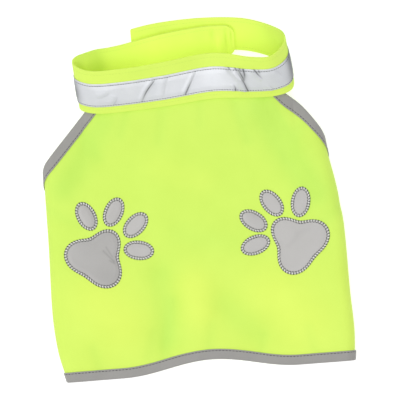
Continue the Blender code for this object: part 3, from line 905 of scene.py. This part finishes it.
BINDING_LIFT = PANEL_WALL / 2 + SEAM_GAP + BINDING_WALL / 2 - 0.12
BINDING_CLOTH = 0.7
BINDING_ROUND = math.pi * BINDING_LIFT
SHOULDER_SLANT = math.hypot(1, SHOULDER_SLOPE)
STITCH_INSIDE = BINDING_LEG - 1.6
BINDING_REACH = 85.0


def binding_section(v):
    """The folded binding: how far inside the cut edge, and how far off the cloth."""
    gone = v * (2 * BINDING_LEG + BINDING_ROUND)
    angle = np.clip((gone - BINDING_LEG) / BINDING_LIFT, 0, np.pi)
    inside = np.abs(gone - BINDING_LEG - BINDING_ROUND / 2) - BINDING_ROUND / 2
    inside = np.where(inside > 0, inside, -BINDING_LIFT * np.sin(angle))
    return inside, BINDING_LIFT * np.cos(angle), gone


def pucker(s, inside):
    """The small waves that sewing leaves along a binding."""
    wave = np.sin(s / 1.9) * np.sin(s / 5.3 + 0.7) + 0.5 * np.sin(s / 8.1)
    return 0.09 * wave * np.clip(inside / 4, 0, 1)


def binding_place(first, last, edge, inward):
    def place(u, v):
        column = first + (last - first) * u
        inside, lift, gone = binding_section(v)
        edge_line = edge_at(column, edge)
        y = edge_line + inward * inside
        s = column_s(column, y)
        lift = lift + np.sign(lift) * pucker(column_s(column, edge_line), inside)
        return panel_point(s, y, lift), np.column_stack([column_s(column, edge_line), gone])

    return place


def make_binding(name, first, last, edge, inward, steps, node):
    place = binding_place(first, last, edge, inward)
    obj = lay_cloth(name, steps, 22, place, BINDING_CLOTH, [node])
    obj.data.materials.append(grey_cloth)
    column = np.linspace(first, last, 1200)
    edge_line = edge_at(column, edge)
    edge_s = column_s(column, edge_line)
    y = edge_line + inward * STITCH_INSIDE
    s = column_s(column, y)
    off = BINDING_LIFT + BINDING_CLOTH / 2 + pucker(edge_s, STITCH_INSIDE)
    for side, face in ((1, "top"), (-1, "under")):
        thread_line(
            f"{name}_stitches_{face}", panel_point(s, y, side * off), side * panel_normal(s, y),
            pitch=3.4, length=2.3, width=0.75, tall=0.5,
            material=binding_thread,
        )


def first_column(sign):
    """The column where the shoulder binding starts, under the collar."""
    return sign * float(np.interp(BINDING_REACH, np.abs(shoulder_s[sign]), shoulder_columns))


grey_cloth = woven(
    "grey binding cloth", (0.25, 0.245, 0.235), (0.34, 0.33, 0.315), 1500, 0.16, 0.7, 0.1
)
binding_thread = thread_material("binding thread", (0.045, 0.045, 0.05))
shoulder_columns = np.linspace(4, LAST_COLUMN, 400)
shoulder_s = {
    sign: column_s(sign * shoulder_columns, edge_at(sign * shoulder_columns, shoulder_y))
    for sign in (1, -1)
}
make_binding(
    "shoulder_binding_right_cloth", first_column(1), LAST_COLUMN, shoulder_y,
    -SHOULDER_SLANT, 110, "shoulder_binding_right",
)
make_binding(
    "shoulder_binding_left_cloth", -LAST_COLUMN, first_column(-1), shoulder_y,
    -SHOULDER_SLANT, 110, "shoulder_binding_left",
)
make_binding(
    "hem_binding_cloth", -LAST_COLUMN, LAST_COLUMN, hem_y, 1, 300, "hem_binding"
)


# The paw prints
# Shaped patches of grey reflective cloth, one pad and four toes on each side of the back.
# Their cut edges are overcast with grey thread, with a second row just inside.

PAD_RADIUS = 27.5
PAD_LOBE = 5.3
PAD_LOBE_SHIFT = 0.15
TOE_HALF_LENGTH = 15.3
TOE_HALF_WIDTH = 9.6
PATCH_CLOTH = 0.5
PATCH_LIFT = PANEL_WALL / 2 + 0.12 + PATCH_CLOTH / 2
OVERCAST_WIDTH = 2.5
OVERCAST_SLANT = 0.45
OVERCAST_PITCH = 2.9
INNER_ROW = OVERCAST_WIDTH + 0.5
BORDER_DARK = 0.55

Toe = namedtuple("Toe", "paw across ahead tilt")
TOES = [
    Toe(paw="left", across=-11.6, ahead=48.2, tilt=-10.0),
    Toe(paw="left", across=13.9, ahead=49.5, tilt=10.0),
    Toe(paw="left", across=-32.0, ahead=29.6, tilt=-62.0),
    Toe(paw="left", across=30.5, ahead=30.3, tilt=62.0),
    Toe(paw="right", across=-12.8, ahead=48.8, tilt=-10.0),
    Toe(paw="right", across=12.6, ahead=46.5, tilt=10.0),
    Toe(paw="right", across=-29.8, ahead=31.6, tilt=-62.0),
    Toe(paw="right", across=32.3, ahead=25.2, tilt=58.0),
]
Paw = namedtuple("Paw", "name x y heading dull")
PAWS = [
    Paw(name="left", x=-101.5, y=-146.7, heading=38.0, dull=0.12),
    Paw(name="right", x=101.5, y=-146.7, heading=-45.0, dull=0.02),
]

# Fine lines where the patch has been bent and its coat rubbed, in the flat cut
SCUFFS = [
    Fold(x0=-91.5, y0=-136.0, x1=-86.0, y1=-146.0, width=0.7, rise=0.22),
    Fold(x0=-94.5, y0=-139.5, x1=-84.5, y1=-151.0, width=0.8, rise=0.25),
    Fold(x0=-89.0, y0=-149.5, x1=-84.0, y1=-153.0, width=0.9, rise=0.18),
    Fold(x0=112.0, y0=-133.5, x1=101.0, y1=-137.0, width=3.0, rise=0.05),
    Fold(x0=100.0, y0=-141.0, x1=91.0, y1=-149.0, width=2.5, rise=0.04),
]


def pad_outline(angle):
    return PAD_RADIUS + PAD_LOBE * np.cos(3 * (angle + PAD_LOBE_SHIFT * np.sin(angle)))


def toe_outline(angle):
    return 1 / np.hypot(np.cos(angle) / TOE_HALF_LENGTH, np.sin(angle) / TOE_HALF_WIDTH)


def patch_lift(inside):
    """The patch puffs up a little inside its sewn border."""
    puff = 0.35 * ease((inside - OVERCAST_WIDTH) / 5)
    return PATCH_LIFT + puff - 0.1 * bell((inside - 2.6) / 0.8)


def make_patch(name, centre, heading, outline, rings, around, dull=0.0):
    """One patch, overcast all round; its cut edge is darkened as painted shade, with dark thread
    ends.
    """
    def reach_of(angle, inside):
        s = centre[0] + (outline(angle) - inside) * np.sin(angle + heading)
        return s, centre[1] + (outline(angle) - inside) * np.cos(angle + heading)

    def inside_of(v, angle):
        return outline(angle) * (1 - np.sin(v * np.pi / 2))

    def place(u, v):
        angle = -2 * np.pi * u
        inside = inside_of(v, angle)
        s, y = reach_of(angle, inside)
        return panel_point(s, y, patch_lift(inside)), np.column_stack([s, y])

    def border(u, v):
        inside = inside_of(v, -2 * np.pi * u)
        worn = dull + rise_of(SCUFFS, *reach_of(-2 * np.pi * u, inside))
        # Painted shade along the cut edge under the overcast, over the patch's worn places
        return worn + (BORDER_DARK - worn) * (1 - ease((inside - OVERCAST_WIDTH - 0.3) / 0.8))

    patch = lay_cloth(
        name + "_patch", around, rings, place, PATCH_CLOTH, [name],
        merge=True, mark=border,
    )
    patch.data.materials.append(patch_cloth)
    angle = np.linspace(0, 2 * np.pi, 721)
    s, y = reach_of(angle, 0.0)
    gone = np.concatenate([[0], np.cumsum(np.hypot(np.diff(s), np.diff(y)))])
    count = int(gone[-1] / OVERCAST_PITCH)
    for stitch, part, start_inside, end_inside, width, material in (
        ("overcast", 0.5, 0.9, OVERCAST_WIDTH - 0.7, 1.35, overcast_thread),
        # Dark dots at the cut edge between the stitches: thread ends, and painted shade
        ("shade_and_thread_end_dots", 0.0, 0.0, 0.7, 1.0, overcast_dark),
    ):
        at = np.interp((np.arange(count) + part) * gone[-1] / count, gone, angle)
        starts = reach_of(at, start_inside)
        ends = reach_of(at + OVERCAST_SLANT / outline(at), end_inside)
        sew(
            f"{name}_{stitch}", panel_point(*starts, patch_lift(0) + PATCH_CLOTH / 2),
            panel_point(*ends, patch_lift(end_inside) + PATCH_CLOTH / 2 + 0.03),
            panel_normal(*starts), width, 0.5, material,
        )
    s, y = reach_of(angle, INNER_ROW)
    line = panel_point(s, y, patch_lift(INNER_ROW) + PATCH_CLOTH / 2)
    thread_line(
        f"{name}_inner_row", line, panel_normal(s, y),
        pitch=OVERCAST_PITCH, length=0.9, width=0.8, tall=0.5,
        material=overcast_dark,
    )
    across, ahead = outline(angle) * np.sin(angle), outline(angle) * np.cos(angle)
    area = float(np.sum(outline(angle[1:]) ** 2) * (angle[1] - angle[0]) / 2)
    float(np.ptp(across)) * MM
    float(np.ptp(ahead)) * MM


patch_cloth = reflective(
    "grey reflective patch", (0.38, 0.37, 0.36), (0.45, 0.44, 0.43), (0.06, 0.062, 0.06), 0.5, 0.1
)
overcast_thread = thread_material("overcast thread", (0.86, 0.86, 0.82))
overcast_dark = thread_material("dark overcast thread", (0.045, 0.048, 0.05))
for paw in PAWS:
    heading = math.radians(paw.heading)
    make_patch(
        f"paw_{paw.name}_pad", (paw.x, paw.y), heading, pad_outline, 40, 160, paw.dull
    )
    toes = [toe for toe in TOES if toe.paw == paw.name]
    for number, toe in enumerate(toes, start=1):
        x = paw.x + toe.ahead * math.sin(heading) + toe.across * math.cos(heading)
        y = paw.y + toe.ahead * math.cos(heading) - toe.across * math.sin(heading)
        turned = heading + math.radians(toe.tilt)
        make_patch(f"paw_{paw.name}_toe_{number}", (x, y), turned, toe_outline, 16, 72)


# The belly straps
# Two plain straps of the yellow cloth, sewn under the flaps and lapped at the middle by
# hook-and-loop. They close the coat under the belly and lie flat on the surface.

STRAP_WALL = 1.0
STRAP_WIDTH = 40.0
STRAP_Y = -204.0
STRAP_REACH = 40.0
STRAP_SEWN_X = 104.0
STRAP_STEP_X = (50.0, 64.0)


def strap_place(start, end, heights):
    def place(u, v):
        x = start + (end - start) * u
        y = STRAP_Y + STRAP_WIDTH * (v - 0.5)
        z = np.interp(x, *heights)
        return np.column_stack([x, y, z]), np.column_stack([x, y])

    return place


strap_low_z = STRAP_WALL / 2
strap_high_z = strap_low_z + STRAP_WALL + SEAM_GAP
strap_left = lay_cloth(
    "belly_strap_left_cloth", 40, 12,
    strap_place(-STRAP_SEWN_X, STRAP_REACH, ((-200, 200), (strap_low_z, strap_low_z))),
    STRAP_WALL, ["belly_strap_left"],
)
strap_right = lay_cloth(
    "belly_strap_right_cloth", 40, 12,
    strap_place(-STRAP_REACH, STRAP_SEWN_X, (STRAP_STEP_X, (strap_high_z, strap_low_z))),
    STRAP_WALL, ["belly_strap_right"],
)
for strap, under in ((strap_left, []), (strap_right, ["belly_strap_left"])):
    strap.data.materials.append(yellow)
    round_edges(strap, 0.3)


# Floor, light and camera
# A plain white table top, lit a little from below as for a cut-out picture, under soft
# studio light, seen from straight above with the coat turned a little anticlockwise.

floor_mesh = bpy.data.meshes.new("floor")
floor_bm = bmesh.new()
bmesh.ops.create_grid(floor_bm, x_segments=1, y_segments=1, size=6.0)
bmesh.ops.translate(floor_bm, verts=floor_bm.verts, vec=(0, 0, -0.0002))
floor_bm.to_mesh(floor_mesh)
floor_bm.free()
floor = bpy.data.objects.new("floor", floor_mesh)
bpy.context.scene.collection.objects.link(floor)
floor_white = bpy.data.materials.new("white table")
floor_white.use_nodes = True
floor_face = floor_white.node_tree.nodes["Principled BSDF"]
floor_face.inputs["Base Color"].default_value = (0.75, 0.75, 0.75, 1)
floor_face.inputs["Roughness"].default_value = 0.9
floor_face.inputs["Emission Color"].default_value = (1, 1, 1, 1)
floor_face.inputs["Emission Strength"].default_value = 0.55
floor_mesh.materials.append(floor_white)

world = bpy.data.worlds.new("studio")
world.use_nodes = True
world.node_tree.nodes["Background"].inputs["Color"].default_value = (1, 1, 1, 1)
world.node_tree.nodes["Background"].inputs["Strength"].default_value = 0.55
bpy.context.scene.world = world

for name, place, size, power in (
    ("key softbox", (-0.45, -0.3, 2.3), 2.2, 37.0),
    ("fill softbox", (-0.3, 1.3, 1.9), 1.4, 6.0),
):
    light = bpy.data.lights.new(name, "AREA")
    light.size = size
    light.energy = power
    lamp = bpy.data.objects.new(name, light)
    lamp.location = place
    lamp.rotation_mode = "QUATERNION"
    lamp.rotation_quaternion = (-Vector(place)).to_track_quat("-Z", "Y")
    bpy.context.scene.collection.objects.link(lamp)

camera_data = bpy.data.cameras.new("camera")
camera_data.lens = 720.0
camera_data.sensor_width = 36.0
camera_data.clip_end = 20.0
camera = bpy.data.objects.new("camera", camera_data)
camera.location = (0.006, -0.0047, 8.02)
camera.rotation_euler = (0, 0, math.radians(-4.5))
bpy.context.scene.collection.objects.link(camera)
bpy.context.scene.camera = camera
bpy.context.scene.view_settings.view_transform = "Standard"
